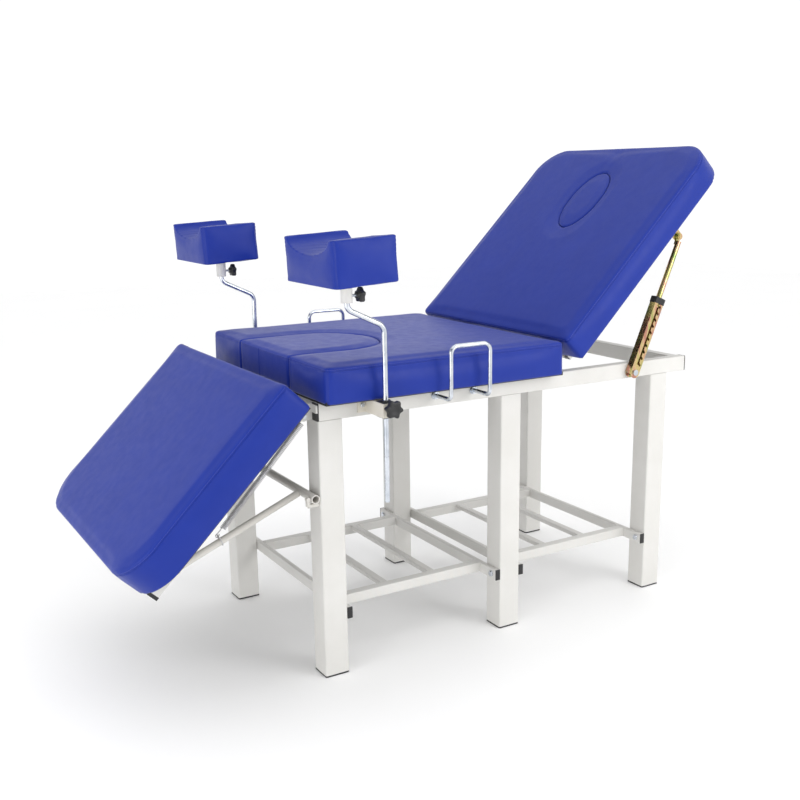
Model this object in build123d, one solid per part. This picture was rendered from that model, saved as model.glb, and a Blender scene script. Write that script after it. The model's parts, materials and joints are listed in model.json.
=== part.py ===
from build123d import *
import os
from math import cos, radians, sin

# Medical exam table: a steel frame on six legs, a fixed seat with a lift-out insert, a backrest
# on ratchet struts, a drop-down leg section on a sprung prop, and two knee supports on rods.
# Millimetres. While the parts are built, +X runs towards the head, Y = 0 is the middle of the
# table, Z = 0 is the floor and X = 0 is the foot side of the front legs. NEAR is the -Y side.
# At the end every part moves along X so that the origin is the middle of the table's box.

# ---- driving dimensions ----
NEAR = -1
FAR = 1
SIDES = (NEAR, FAR)

half_width = 300            # outer faces of legs and rails
leg_size = 60
leg_pitch = 492
leg_wall = 2
foot_height = 4
rail_bottom = 610
rail_top = 650
rail_width = 28
rail_start = 3
rail_end = 1106
tube_wall = 1.6
tube_corner = 2.5           # outer corners of the rails and tubes
leg_corner = 4
cap_thickness = 3

cushion_half_width = 341
cushion_top = 735
board_half_width = 334
seat_start = 3
seat_end = 655.5
seat_bottom = 658
insert_half_width = 144
insert_depth = 300
insert_gap = 1.5
cushion_corner = 14
cushion_edge = 9

backrest_angle = 44.8
backrest_pivot_x = 669
backrest_pivot_z = 700
backrest_start = 686
backrest_length = 676
backrest_bottom = 667
backrest_corner = 95
face_hole_up = 467          # from the low edge to the middle of the face hole
face_hole_long = 205
face_hole_wide = 128
board_thickness = 10
frame_tube = 25

leg_angle = 45
leg_pivot_x = -20
leg_pivot_z = 620
leg_section_start = -2
leg_section_length = 523
leg_section_bottom = 660
leg_section_corner = 100

strut_pivot_x = 905.5
strut_pivot_z = 627.7
strut_top_x = 1056.4
strut_top_z = 973.3
strut_plane = 312           # |Y| of the strut's centre line
strut_tilt = 23.6           # from upright towards the head
strut_length = 377

prop_x = -11
prop_z = 435
prop_tilt = 22.47           # below level, towards the foot
prop_reach = 345
prop_plane = 224
spring_top_x = 8
spring_top_z = 606
spring_length = 325
spring_tilt = 46.9

knee_x = 134
knee_plane = 364            # |Y| of the knee support rods
rod_radius = 6
post_x = 45
pad_x = 36
pad_bottom = 918
pad_length = 150
pad_width = 236
pad_height = 97
pad_pitch = 3.2

handle_xs = (301, 408)
handle_plane = 370
handle_bottom = 635
handle_top = 758
handle_radius = 5

shelf_bottom = 134
shelf_top = 161
shelf_cross_width = 12.5
shelf_rail_plane = 218
shelf_rail_size = 25

pin_radius = 5
running = 0.06              # radial clearance of a pin or rod that turns or slides
fixed_gap = 0.1             # clearance of a plug or screw that stays put
lift_gap = 0.4              # under a pad that lifts out


# ---- helpers ----
def block(x0, x1, y0, y1, z0, z1):
    """A box given by its limits."""
    return Pos((x0 + x1) / 2, (y0 + y1) / 2, (z0 + z1) / 2) * Box(x1 - x0, y1 - y0, z1 - z0)


def side_block(side, x0, x1, inner, outer, z0, z1):
    """A box on one side of the table, between two distances from the middle plane."""
    low, high = sorted((side * inner, side * outer))
    return block(x0, x1, low, high, z0, z1)


def bar_x(x0, x1, y, z, radius):
    return Pos((x0 + x1) / 2, y, z) * Rot(0, 90, 0) * Cylinder(radius, x1 - x0)


def bar_y(x, z, y0, y1, radius):
    low, high = sorted((y0, y1))
    return Pos(x, (low + high) / 2, z) * Rot(90, 0, 0) * Cylinder(radius, high - low)


def bar_z(x, y, z0, z1, radius):
    return Pos(x, y, (z0 + z1) / 2) * Cylinder(radius, z1 - z0)


def rounded(shape, axis, radius):
    """Round the edges of a box that run along an axis."""
    return fillet(shape.edges().filter_by(axis), radius)


def tube_along_x(x0, x1, y0, y1, z0, z1, wall=tube_wall):
    bore = block(x0 - 1, x1 + 1, y0 + wall, y1 - wall, z0 + wall, z1 - wall)
    return rounded(block(x0, x1, y0, y1, z0, z1), Axis.X, tube_corner) - bore


def tube_along_y(x0, x1, y0, y1, z0, z1, wall=tube_wall):
    bore = block(x0 + wall, x1 - wall, y0 - 1, y1 + 1, z0 + wall, z1 - wall)
    return rounded(block(x0, x1, y0, y1, z0, z1), Axis.Y, tube_corner) - bore


def swept_rod(points, corner_radii, radius):
    """A bent round rod through the points."""
    path = FilletPolyline(*points, radius=corner_radii)
    return sweep(Plane(path @ 0, z_dir=path % 0) * Circle(radius), path=path)


def star_knob(radius, thickness, lobes):
    """A lobed hand knob around the Z axis, its back at Z = 0."""
    knob = Cylinder(radius * 0.8, thickness, align=(Align.CENTER, Align.CENTER, Align.MIN))
    for number in range(lobes):
        lobe = Cylinder(radius * 0.24, thickness, align=(Align.CENTER, Align.CENTER, Align.MIN))
        knob += Rot(0, 0, 360 / lobes * number) * Pos(radius * 0.76, 0, 0) * lobe
    for number in range(lobes):
        scoop = Cylinder(radius * 0.26, thickness * 3)
        knob -= Rot(0, 0, 360 / lobes * (number + 0.5)) * Pos(radius * 0.92, 0, 0) * scoop
    return knob


def rounded_head(radius, height, edge, crossed):
    """A screw head on the XY plane, its top edge rounded, with a cross recess if asked for."""
    head = Cylinder(radius, height, align=(Align.CENTER, Align.CENTER, Align.MIN))
    head = fillet(head.faces().sort_by(Axis.Z)[-1].edges(), edge)
    if crossed:
        for slot in (Box(radius * 1.1, 1.2, 3), Box(1.2, radius * 1.1, 3)):
            head -= Pos(0, 0, height) * slot
    return head


def turned(shape, pivot_x, pivot_z, degrees):
    """Turn a shape in the XZ plane, from level towards upright for +X."""
    return Pos(pivot_x, 0, pivot_z) * Rot(0, -degrees, 0) * Pos(-pivot_x, 0, -pivot_z) * shape


def backrest_raised(shape):
    return turned(shape, backrest_pivot_x, backrest_pivot_z, backrest_angle)


def leg_section_lowered(shape):
    return turned(shape, leg_pivot_x, leg_pivot_z, leg_angle)


def group(shapes):
    """Several separate solids as one node."""
    solids = []
    for shape in shapes:
        solids += shape.solids()
    return Compound(children=solids)


nodes = {}

# ---- legs, feet and rails ----
bolt_z = (shelf_bottom + shelf_top) / 2
bolt_plane = 280
shelf_bays = []
for bay in range(2):
    bay_start = bay * leg_pitch + leg_size
    bay_end = (bay + 1) * leg_pitch
    shelf_bays.append((bay_start, bay_end))
bolt_radius = 4
bolt_head_radius = 7.5
bolt_head_height = 5

for number, name in enumerate(("foot_legs", "middle_legs", "head_legs")):
    x0 = number * leg_pitch
    pair = []
    for side in SIDES:
        inner = half_width - leg_size
        leg = side_block(side, x0, x0 + leg_size, inner, half_width, foot_height, rail_bottom)
        leg = rounded(leg, Axis.Z, leg_corner)
        leg -= side_block(side, x0 + leg_wall, x0 + leg_size - leg_wall, inner + leg_wall,
                          half_width - leg_wall, 0, rail_bottom + 1)
        for bay_start, bay_end in shelf_bays:
            leg -= bar_x(bay_start - 10, bay_start + 1, side * bolt_plane, bolt_z, bolt_radius)
            leg -= bar_x(bay_end - 1, bay_end + 10, side * bolt_plane, bolt_z, bolt_radius)
        pair.append(leg)
    nodes[name] = group(pair)

feet = []
plug_height = 20
for number in range(3):
    for side in SIDES:
        x0 = number * leg_pitch
        inner = half_width - leg_size
        foot = side_block(side, x0, x0 + leg_size, inner, half_width, 0, foot_height)
        foot = rounded(foot, Axis.Z, leg_corner)
        inset = leg_wall + fixed_gap
        foot += side_block(side, x0 + inset, x0 + leg_size - inset, inner + inset,
                           half_width - inset, foot_height, foot_height + plug_height)
        feet.append(foot)
nodes["leg_feet"] = group(feet)

rail_inner = half_width - rail_width
clamp_plate = (97, 128)
clamp_screw_x = 109
clamp_screw_z = 636
screw_radius = 3
for side, name in ((NEAR, "side_rail_near"), (FAR, "side_rail_far")):
    low, high = sorted((side * rail_inner, side * half_width))
    rail = tube_along_x(rail_start, rail_end, low, high, rail_bottom, rail_top)
    for x in handle_xs:
        rail -= bar_y(x, handle_bottom, low - 1, high + 1, handle_radius)
    rail -= bar_y(strut_pivot_x, strut_pivot_z, low - 1, high + 1, pin_radius)
    outer = side * half_width
    rail -= bar_y(clamp_screw_x, clamp_screw_z, outer - side * 10, outer + side,
                  screw_radius + fixed_gap)
    nodes[name] = rail

end_caps = []
cap_plug = 12
for side in SIDES:
    for x0, direction in ((rail_start, -1), (rail_end, 1)):
        xs = sorted((x0, x0 + direction * cap_thickness))
        cap = side_block(side, xs[0], xs[1], rail_inner, half_width, rail_bottom, rail_top)
        cap = rounded(cap, Axis.X, tube_corner)
        xs = sorted((x0, x0 - direction * cap_plug))
        inset = tube_wall + fixed_gap
        cap += side_block(side, xs[0], xs[1], rail_inner + inset, half_width - inset,
                          rail_bottom + inset, rail_top - inset)
        end_caps.append(cap)
nodes["rail_end_caps"] = group(end_caps)

cross_starts = (14, 628, 1072)
nodes["cross_rails"] = group(
    tube_along_y(x0, x0 + rail_width, -rail_inner, rail_inner, rail_bottom, rail_top)
    for x0 in cross_starts
)

# ---- seat ----
board_inset = 2
nodes["seat_board"] = block(seat_start + board_inset, seat_end - board_inset, -board_half_width,
                            board_half_width, rail_top, seat_bottom)


def pad_block(x0, x1, z0, z1, corner, edge):
    """A padded cushion: upright corners and the top edge rounded."""
    pad = block(x0, x1, -cushion_half_width, cushion_half_width, z0, z1)
    pad = fillet(pad.edges().filter_by(Axis.Z), corner)
    return fillet(pad.faces().sort_by(Axis.Z)[-1].edges(), edge)


def tongue(depth, half, z0, z1):
    """A tongue from the seat's foot edge, round at its head end."""
    middle = seat_start + depth - half
    outline = block(seat_start - 5, middle, -half, half, z0, z1)
    outline += bar_z(middle, 0, z0, z1, half)
    return outline


seat = pad_block(seat_start, seat_end, seat_bottom, cushion_top, cushion_corner, cushion_edge)
nodes["seat_cushion"] = seat - tongue(insert_depth + insert_gap, insert_half_width + insert_gap,
                                      seat_bottom - 1, cushion_top + 1)

insert = tongue(insert_depth, insert_half_width, seat_bottom + lift_gap, cushion_top)
insert &= block(seat_start, seat_end, -cushion_half_width, cushion_half_width, 0, 2000)
nodes["seat_insert"] = fillet(insert.faces().sort_by(Axis.Z)[-1].edges(), 6)

# ---- backrest hinge ----
ear_plane = 215
ear_half = 2.5
lug_gap = 1
lug_thickness = 5
lug_radius = 11
mid_rail_face = cross_starts[1] + rail_width
lugs = []
for side in SIDES:
    for inner in (ear_plane - ear_half - lug_gap - lug_thickness, ear_plane + ear_half + lug_gap):
        outer = inner + lug_thickness
        lug = side_block(side, mid_rail_face, backrest_pivot_x + lug_radius, inner, outer,
                         rail_bottom + 5, backrest_pivot_z)
        lug += bar_y(backrest_pivot_x, backrest_pivot_z, side * inner, side * outer, lug_radius)
        lug -= bar_y(backrest_pivot_x, backrest_pivot_z, side * (inner - 1), side * (outer + 1),
                     pin_radius + running)
        lugs.append(lug)
nodes["backrest_hinge_lugs"] = group(lugs)

# ---- backrest, drawn level and then raised ----
backrest_end = backrest_start + backrest_length
frame_start = backrest_start + 9
frame_end = cross_starts[2] - 12      # clears the head cross rail when the backrest is level
board_bottom = backrest_bottom - board_thickness
frame_bottom = board_bottom - frame_tube
frame_inner = 240
frame_outer = frame_inner + frame_tube

backrest_frame = []
for side in SIDES:
    low, high = sorted((side * frame_inner, side * frame_outer))
    backrest_frame.append(tube_along_x(frame_start, frame_end, low, high, frame_bottom, board_bottom))
for x0 in (frame_start, frame_end - frame_tube):
    backrest_frame.append(tube_along_y(x0, x0 + frame_tube, -frame_inner, frame_inner,
                                       frame_bottom, board_bottom))
nodes["backrest_frame"] = group(backrest_raised(tube) for tube in backrest_frame)

face_hole_x = backrest_start + face_hole_up


def face_oval(margin, z0, z1):
    outline = Pos(face_hole_x, 0) * Ellipse(face_hole_long / 2 + margin, face_hole_wide / 2 + margin)
    return Pos(0, 0, z0) * extrude(outline, z1 - z0)


def section_pad(x0, x1, round_end, corner, z0, z1):
    """A cushion section with large rounded corners at one end and small ones at the other."""
    pad = block(x0, x1, -cushion_half_width, cushion_half_width, z0, z1)
    upright = pad.edges().filter_by(Axis.Z).sort_by(Axis.X)
    low_edges = upright[:2]
    high_edges = upright[2:]
    if round_end > 0:
        pad = fillet(high_edges, corner)
        pad = fillet(pad.edges().filter_by(Axis.Z).sort_by(Axis.X)[:2], cushion_corner)
    else:
        pad = fillet(low_edges, corner)
        pad = fillet(pad.edges().filter_by(Axis.Z).sort_by(Axis.X)[-2:], cushion_corner)
    return fillet(pad.faces().sort_by(Axis.Z)[-1].edges(), cushion_edge)


def section_board(x0, x1, round_end, corner, z0, z1):
    board = block(x0, x1, -board_half_width, board_half_width, z0, z1)
    upright = board.edges().filter_by(Axis.Z).sort_by(Axis.X)
    return fillet(upright[2:] if round_end > 0 else upright[:2], corner)


hole_gap = 1
board_inset_end = 6
spigot_inset = 14           # the board's hole is smaller than the cushion's, and holds the plug's spigot
spigot_gap = 1.5
backrest = section_pad(backrest_start, backrest_end, 1, backrest_corner, backrest_bottom, cushion_top)
backrest -= face_oval(hole_gap, backrest_bottom - 1, cushion_top + 1)
nodes["backrest_cushion"] = backrest_raised(backrest)

board = section_board(backrest_start + board_inset_end, backrest_end - board_inset_end, 1,
                      backrest_corner - board_inset_end, board_bottom, backrest_bottom)
board -= face_oval(hole_gap - spigot_inset, board_bottom - 1, backrest_bottom + 1)
nodes["backrest_board"] = backrest_raised(board)

plug = face_oval(0, backrest_bottom + lift_gap, cushion_top)
plug = fillet(plug.faces().sort_by(Axis.Z)[-1].edges(), 4)
nodes["face_plug_cushion"] = backrest_raised(plug)
spigot = face_oval(hole_gap - spigot_inset - spigot_gap, board_bottom + 1, backrest_bottom + lift_gap)
nodes["face_plug_spigot"] = backrest_raised(spigot)

ear_radius = 10
ears = []
pins = []
for side in SIDES:
    inner = ear_plane - ear_half
    outer = ear_plane + ear_half
    x0 = backrest_pivot_x - ear_radius
    ear = side_block(side, x0, x0 + 2 * ear_radius, inner, outer, frame_bottom, backrest_pivot_z)
    ear += bar_y(backrest_pivot_x, backrest_pivot_z, side * inner, side * outer, ear_radius)
    ear += side_block(side, x0, frame_start, inner, outer, frame_bottom, board_bottom)
    ear -= bar_y(backrest_pivot_x, backrest_pivot_z, side * (inner - 1), side * (outer + 1), pin_radius)
    ears.append(ear)
    reach = ear_half + lug_gap + lug_thickness + 1
    pin = bar_y(backrest_pivot_x, backrest_pivot_z, side * (ear_plane - reach),
                side * (ear_plane + reach + 2), pin_radius)
    pin += bar_y(backrest_pivot_x, backrest_pivot_z, side * (ear_plane - reach - 4),
                 side * (ear_plane - reach), 8)
    pins.append(pin)
nodes["backrest_hinge_ears"] = group(backrest_raised(ear) for ear in ears)
nodes["backrest_hinge_pins"] = group(backrest_raised(pin) for pin in pins)

# ---- ratchet struts ----
strut_drop = radians(backrest_angle)
dx = strut_top_x - backrest_pivot_x
dz = strut_top_z - backrest_pivot_z
bracket_x = backrest_pivot_x + dx * cos(strut_drop) + dz * sin(strut_drop)
bracket_z = backrest_pivot_z - dx * sin(strut_drop) + dz * cos(strut_drop)
bracket_inner = 299
bracket_outer = 303
bracket_half = 13
flange_inner = 250          # the flange is screwed up into the board
flange_thickness = 5
eye_radius = 10
brackets = []
for side in SIDES:
    x0 = bracket_x - bracket_half
    x1 = bracket_x + bracket_half
    bracket = side_block(side, x0, x1, flange_inner, bracket_outer, board_bottom - flange_thickness,
                         board_bottom)
    bracket += side_block(side, x0, x1, bracket_inner, bracket_outer, bracket_z, board_bottom)
    bracket += bar_y(bracket_x, bracket_z, side * bracket_inner, side * bracket_outer, bracket_half)
    brackets.append(backrest_raised(bracket))
nodes["strut_brackets"] = group(brackets)

channel_half_width = 15
channel_half_depth = 10
channel_wall = 2
channel_bottom = -16
channel_top = 205
slot_start = 22
slot_end = 196
slot_half_width = 3
notch_count = 10


def strut_placed(shape, side):
    """From upright at the strut's own lower pivot to its place on one side of the table."""
    return Pos(strut_pivot_x, side * strut_plane, strut_pivot_z) * Rot(0, strut_tilt, 0) * shape


def strut_channel(side):
    """A square-section channel with a ratchet slot in its outer wall; its pivot is at Z = 0."""
    width = channel_half_width
    depth = channel_half_depth
    wall = channel_wall
    body = block(-width, width, -depth, depth, channel_bottom + width, channel_top)
    body += bar_y(0, 0, -depth, depth, width)
    body -= block(-width + wall, width - wall, -depth + wall, depth - wall, -width - 5, channel_top + 5)
    slot = side_block(side, -slot_half_width, slot_half_width, depth - 5, depth + 5, slot_start, slot_end)
    pitch = (slot_end - slot_start - 14) / (notch_count - 1)
    for number in range(notch_count):
        notch = side_block(side, 0, 11, depth - 5, depth + 5, -3, 3)
        slot += Pos(0, 0, slot_start + 5 + pitch * number) * Rot(0, 35, 0) * notch
    body -= slot
    return body - bar_y(0, 0, -depth - 1, depth + 1, pin_radius + running)


tube_radius = 7.4
tube_start = 181
ratchet_pin = tube_start + 5


def strut_tube(side):
    """The inner tube, with its flat eye at the top and the ratchet pin at the bottom."""
    body = bar_z(0, 0, tube_start, strut_length - 14, tube_radius)
    eye_inner = bracket_outer + 0.6 - strut_plane
    low, high = sorted((side * eye_inner, side * (eye_inner + 5)))
    body += block(-6, 6, low, high, strut_length - 24, strut_length)
    body += bar_y(0, strut_length, low, high, eye_radius)
    body += bar_y(0, strut_length, side * eye_inner, side * (eye_inner + 10), pin_radius)
    body += bar_y(0, strut_length, side * (eye_inner + 5), side * (eye_inner + 8.5), 8)
    return body + bar_y(0, ratchet_pin, 0, side * (channel_half_depth + 2), 2.4)


anchor_pins = []
for side, name in ((NEAR, "near"), (FAR, "far")):
    nodes["strut_channel_" + name] = strut_placed(strut_channel(side), side)
    nodes["strut_tube_" + name] = strut_placed(strut_tube(side), side)
    outer = strut_plane + channel_half_depth
    pin = bar_y(strut_pivot_x, strut_pivot_z, side * (rail_inner - 4), side * (outer + 1), pin_radius)
    pin += bar_y(strut_pivot_x, strut_pivot_z, side * (outer + 0.4), side * (outer + 4), 8)
    anchor_pins.append(pin)
nodes["strut_anchor_pins"] = group(anchor_pins)

# ---- leg section, drawn level and then lowered ----
leg_end = leg_section_start - leg_section_length
leg_board_bottom = leg_section_bottom - board_thickness
leg_frame_bottom = leg_board_bottom - frame_tube
leg_frame_start = leg_end + 18
leg_frame_end = -45
leg_cross_x = -95
leg_tube_inner = 258
runner_inner = 212
runner_outer = 236
leg_frame = []
for side in SIDES:
    low, high = sorted((side * leg_tube_inner, side * (leg_tube_inner + frame_tube)))
    leg_frame.append(tube_along_x(leg_frame_start, leg_frame_end, low, high,
                                  leg_frame_bottom, leg_board_bottom))
    low, high = sorted((side * runner_inner, side * runner_outer))
    leg_frame.append(tube_along_x(leg_frame_start + frame_tube, leg_cross_x, low, high,
                                  leg_frame_bottom, leg_board_bottom))
for x0 in (leg_frame_start, leg_cross_x):
    leg_frame.append(tube_along_y(x0, x0 + frame_tube, -leg_tube_inner, leg_tube_inner,
                                  leg_frame_bottom, leg_board_bottom))
nodes["leg_section_frame"] = group(leg_section_lowered(tube) for tube in leg_frame)

nodes["leg_section_cushion"] = leg_section_lowered(section_pad(
    leg_end, leg_section_start, -1, leg_section_corner, leg_section_bottom, cushion_top))
nodes["leg_section_board"] = leg_section_lowered(section_board(
    leg_end + board_inset_end, leg_section_start - 4, -1, leg_section_corner - board_inset_end,
    leg_board_bottom, leg_section_bottom))

leg_caps = []
for side in SIDES:
    inner = leg_tube_inner
    outer = leg_tube_inner + frame_tube
    cap = side_block(side, leg_frame_start - 8, leg_frame_start, inner, outer,
                     leg_frame_bottom, leg_board_bottom)
    inset = tube_wall + fixed_gap
    cap += side_block(side, leg_frame_start, leg_frame_start + cap_plug, inner + inset,
                      outer - inset, leg_frame_bottom + inset, leg_board_bottom - inset)
    leg_caps.append(leg_section_lowered(cap))
nodes["leg_frame_caps"] = group(leg_caps)

lug_outer = rail_inner
lug_inner = rail_inner - lug_thickness
lug_top = rail_top - 4      # stays under the board as the leg section swings
end_plate_low = 629         # a plate over the upper half of each rail's foot end
end_plate_thickness = 4
ear_outer = leg_tube_inner
ear_inner = leg_tube_inner - lug_thickness
leg_lugs = []
leg_ears = []
leg_pins = []
for side in SIDES:
    lug = side_block(side, leg_pivot_x, cross_starts[0], lug_inner, lug_outer,
                     leg_pivot_z - 10, lug_top)
    lug += bar_y(leg_pivot_x, leg_pivot_z, side * lug_inner, side * lug_outer, 12)
    lug += side_block(side, leg_pivot_x - 12, leg_pivot_x, lug_inner, lug_outer,
                      leg_pivot_z, lug_top)
    lug -= bar_y(leg_pivot_x, leg_pivot_z, side * (lug_inner - 1), side * (lug_outer + 1),
                 pin_radius + running)
    lug += side_block(side, -end_plate_thickness, 0, lug_inner, half_width, end_plate_low, lug_top)
    leg_lugs.append(lug)

    ear = side_block(side, leg_cross_x + frame_tube, leg_pivot_x, ear_inner, ear_outer,
                     leg_pivot_z - 5, leg_board_bottom)
    ear += bar_y(leg_pivot_x, leg_pivot_z, side * ear_inner, side * ear_outer, 12)
    ear -= bar_y(leg_pivot_x, leg_pivot_z, side * (ear_inner - 1), side * (ear_outer + 1), pin_radius)
    leg_ears.append(leg_section_lowered(ear))

    pin = bar_y(leg_pivot_x, leg_pivot_z, side * ear_inner, side * (lug_outer + 3), pin_radius)
    pin += bar_y(leg_pivot_x, leg_pivot_z, side * (ear_inner - 4), side * ear_inner, 8)
    pin += bar_y(leg_pivot_x, leg_pivot_z, side * ear_outer, side * (lug_inner - 0.4), 9)
    leg_pins.append(pin)
nodes["leg_hinge_lugs"] = group(leg_lugs)
nodes["leg_hinge_ears"] = group(leg_ears)
nodes["leg_hinge_pins"] = group(leg_pins)

# ---- prop under the leg section ----
crossbar_radius = 10
arm_radius = 8
roller_radius = 9


def prop_placed(shape):
    """From level, pointing away from the legs, to the prop's resting tilt."""
    return Pos(prop_x, 0, prop_z) * Rot(0, -prop_tilt, 0) * shape


crossbar = bar_y(0, 0, -half_width, half_width, crossbar_radius)
crossbar -= bar_y(0, 0, -half_width - 1, half_width + 1, crossbar_radius - 2)
prop_frame = crossbar
rollers = []
for side in SIDES:
    y = side * prop_plane
    arm = bar_x(-prop_reach + 14, -crossbar_radius + 1, y, 0, arm_radius)
    prop_frame += arm
    prop_frame += side_block(side, -prop_reach + 10, -prop_reach + 24, prop_plane - 13,
                             prop_plane + 13, -7, 7)
    for inner in (prop_plane - 13, prop_plane + 10):
        cheek = side_block(side, -prop_reach, -prop_reach + 12, inner, inner + 3, -7, 7)
        cheek += bar_y(-prop_reach, 0, side * inner, side * (inner + 3), 7)
        prop_frame += cheek
    roller = bar_y(-prop_reach, 0, side * (prop_plane - 9.6), side * (prop_plane + 9.6), roller_radius)
    rollers.append(prop_placed(roller))
nodes["prop_frame"] = prop_placed(prop_frame)
nodes["prop_rollers"] = group(rollers)

peg_radius = 5
peg_gap = 0.4
peg_z = prop_z - crossbar_radius - peg_radius - peg_gap
stop_x = prop_x - crossbar_radius - peg_radius - peg_gap
pegs = []
for side in SIDES:
    y = side * (half_width - 10)
    peg = bar_x(stop_x, 0, y, peg_z, peg_radius)
    peg += bar_z(stop_x, y, peg_z, prop_z, peg_radius)
    peg += bar_y(stop_x, prop_z, y - peg_radius, y + peg_radius, peg_radius)
    pegs.append(peg)
nodes["prop_pegs"] = group(pegs)

spring_radius = 7.2
wire_radius = 1.5
hook_length = 18
hook_eye_radius = 4
hook_eye_half = 1.5
tab_pin_radius = 2
springs = []
tabs = []
for side in SIDES:
    y = side * prop_plane
    coil = bar_x(-spring_length + hook_length, -hook_length, y, 0, spring_radius)
    coil += bar_x(-spring_length, 0, y, 0, wire_radius)
    coil += bar_y(0, 0, y - hook_eye_half, y + hook_eye_half, hook_eye_radius)
    coil -= bar_y(0, 0, y - hook_eye_half - 1, y + hook_eye_half + 1, tab_pin_radius + running)
    springs.append(Pos(spring_top_x, 0, spring_top_z) * Rot(0, -spring_tilt, 0) * coil)

    tab = side_block(side, spring_top_x - 6, spring_top_x + 22, prop_plane + 4, prop_plane + 7,
                     spring_top_z - 6, rail_bottom)
    tab += bar_y(spring_top_x, spring_top_z, side * (prop_plane - 3), side * (prop_plane + 5),
                 tab_pin_radius)
    tabs.append(tab)
nodes["prop_springs"] = group(springs)
nodes["spring_tabs"] = group(tabs)

# ---- knee supports ----
clamp_low = 619
clamp_high = 650
clamp_outer = knee_plane + 20
clamp_wall = 3
clamp_xs = (knee_x - 17, knee_x + 17)
sleeve_radius = 9
clamp_knob_z = 640
pad_knob_z = 889
clamp_knob_radius = 21.5
clamp_knob_thickness = 15
pad_knob_radius = 17
pad_knob_thickness = 12
knob_shaft = 4
screw_head_radius = 5.5
screw_head_height = 3.5
brackets = []
blocks = []
screws = []
for side in SIDES:
    y = side * knee_plane
    plate = side_block(side, clamp_plate[0], clamp_xs[1], half_width, half_width + clamp_wall,
                       clamp_low, clamp_high)
    plate += side_block(side, clamp_xs[0], clamp_xs[1], half_width, clamp_outer, clamp_low, clamp_high)
    plate -= side_block(side, clamp_xs[0] + clamp_wall, clamp_xs[1] - clamp_wall,
                        half_width + clamp_wall, clamp_outer - clamp_wall, clamp_low - 1, clamp_high + 1)
    plate -= bar_y(knee_x, clamp_knob_z, side * (clamp_outer - 5), side * (clamp_outer + 1),
                   knob_shaft + running)
    plate -= bar_y(clamp_screw_x, clamp_screw_z, side * (half_width - 1),
                   side * (half_width + clamp_wall + 1), screw_radius + fixed_gap)
    brackets.append(plate)

    guide = side_block(side, clamp_xs[0] + clamp_wall, clamp_xs[1] - clamp_wall, knee_plane - 17,
                       clamp_outer - clamp_wall, clamp_low - 2, clamp_high + 2)
    guide -= bar_z(knee_x, y, clamp_low - 5, clamp_high + 5, sleeve_radius + running)
    guide -= bar_y(knee_x, clamp_knob_z, y, side * (clamp_outer + 1), knob_shaft + running)
    blocks.append(guide)

    head_face = half_width + clamp_wall
    screw = bar_y(clamp_screw_x, clamp_screw_z, side * (half_width - 8), side * head_face, screw_radius)
    screw += rounded_head(screw_head_radius, screw_head_height, 1.5, True).moved(
        Location((clamp_screw_x, side * head_face, clamp_screw_z), (-90 * side, 0, 0)))
    screws.append(screw)
nodes["clamp_brackets"] = group(brackets)
nodes["clamp_blocks"] = group(blocks)
nodes["clamp_screws"] = group(screws)

rod_low = 422
rod_bend_z = 817
post_bend_z = 859
post_top = 906
rod_grooves = (528, 760)
groove_half = 1.5
groove_depth = 0.8
socket_bottom = 873
socket_top = 916
socket_radius = 12.5
trough_half = 96
trough_depth = 32
pad_corner = 12
for side, name in ((NEAR, "near"), (FAR, "far")):
    y = side * knee_plane
    sleeve = bar_z(knee_x, y, clamp_low - 3, clamp_high + 3, sleeve_radius)
    sleeve += bar_z(knee_x, y, clamp_high + 2.3, clamp_high + 4.5, sleeve_radius + 2)
    sleeve -= bar_z(knee_x, y, clamp_low - 9, clamp_high + 9, rod_radius + running)
    nodes["guide_sleeve_" + name] = sleeve

    route = [(knee_x, y, rod_low), (knee_x, y, rod_bend_z), (post_x, y, post_bend_z),
             (post_x, y, post_top)]
    rod = swept_rod(route, (24, 20), rod_radius)
    for z in rod_grooves:
        ring = bar_z(knee_x, y, z - groove_half, z + groove_half, rod_radius + 1)
        rod -= ring - bar_z(knee_x, y, z - groove_half, z + groove_half, rod_radius - groove_depth)
    nodes["knee_rod_" + name] = rod

    socket = bar_z(post_x, y, socket_bottom, socket_top, socket_radius)
    plate = block(-40, 40, -50, 50, -4, 0)
    socket += Pos(pad_x, y, pad_bottom) * Rot(0, -pad_pitch, 0) * plate
    socket -= bar_z(post_x, y, socket_bottom - 1, post_top + 0.4, rod_radius + running)
    socket -= bar_x(post_x, post_x + 20, y, pad_knob_z, 3 + running)
    nodes["pad_socket_" + name] = socket

    pad = block(-pad_length / 2, pad_length / 2, -pad_width / 2, pad_width / 2, 0, pad_height)
    pad = fillet(pad.edges().filter_by(Axis.Z), pad_corner)
    trough = Ellipse(trough_half, trough_depth)
    trough = extrude(Plane.YZ * trough, pad_length, both=True)
    pad -= Pos(0, 0, pad_height) * trough
    nodes["knee_pad_" + name] = Pos(pad_x, y, pad_bottom) * Rot(0, -pad_pitch, 0) * pad

    knob = Rot(90 * -side, 0, 0) * star_knob(clamp_knob_radius, clamp_knob_thickness, 6)
    face = clamp_outer + 8
    knob = Pos(knee_x, side * face, clamp_knob_z) * knob
    knob += bar_y(knee_x, clamp_knob_z, y + side * (sleeve_radius + 0.3), side * face, knob_shaft)
    knob += bar_y(knee_x, clamp_knob_z, side * (clamp_outer + 2), side * face, 8)
    nodes["clamp_knob_" + name] = knob

    knob = Rot(0, 90, 0) * star_knob(pad_knob_radius, pad_knob_thickness, 5)
    face = post_x + socket_radius + 14
    knob = Pos(face, y, pad_knob_z) * knob
    knob += bar_x(post_x + rod_radius + 0.3, face, y, pad_knob_z, 3)
    nodes["pad_knob_" + name] = knob

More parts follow.
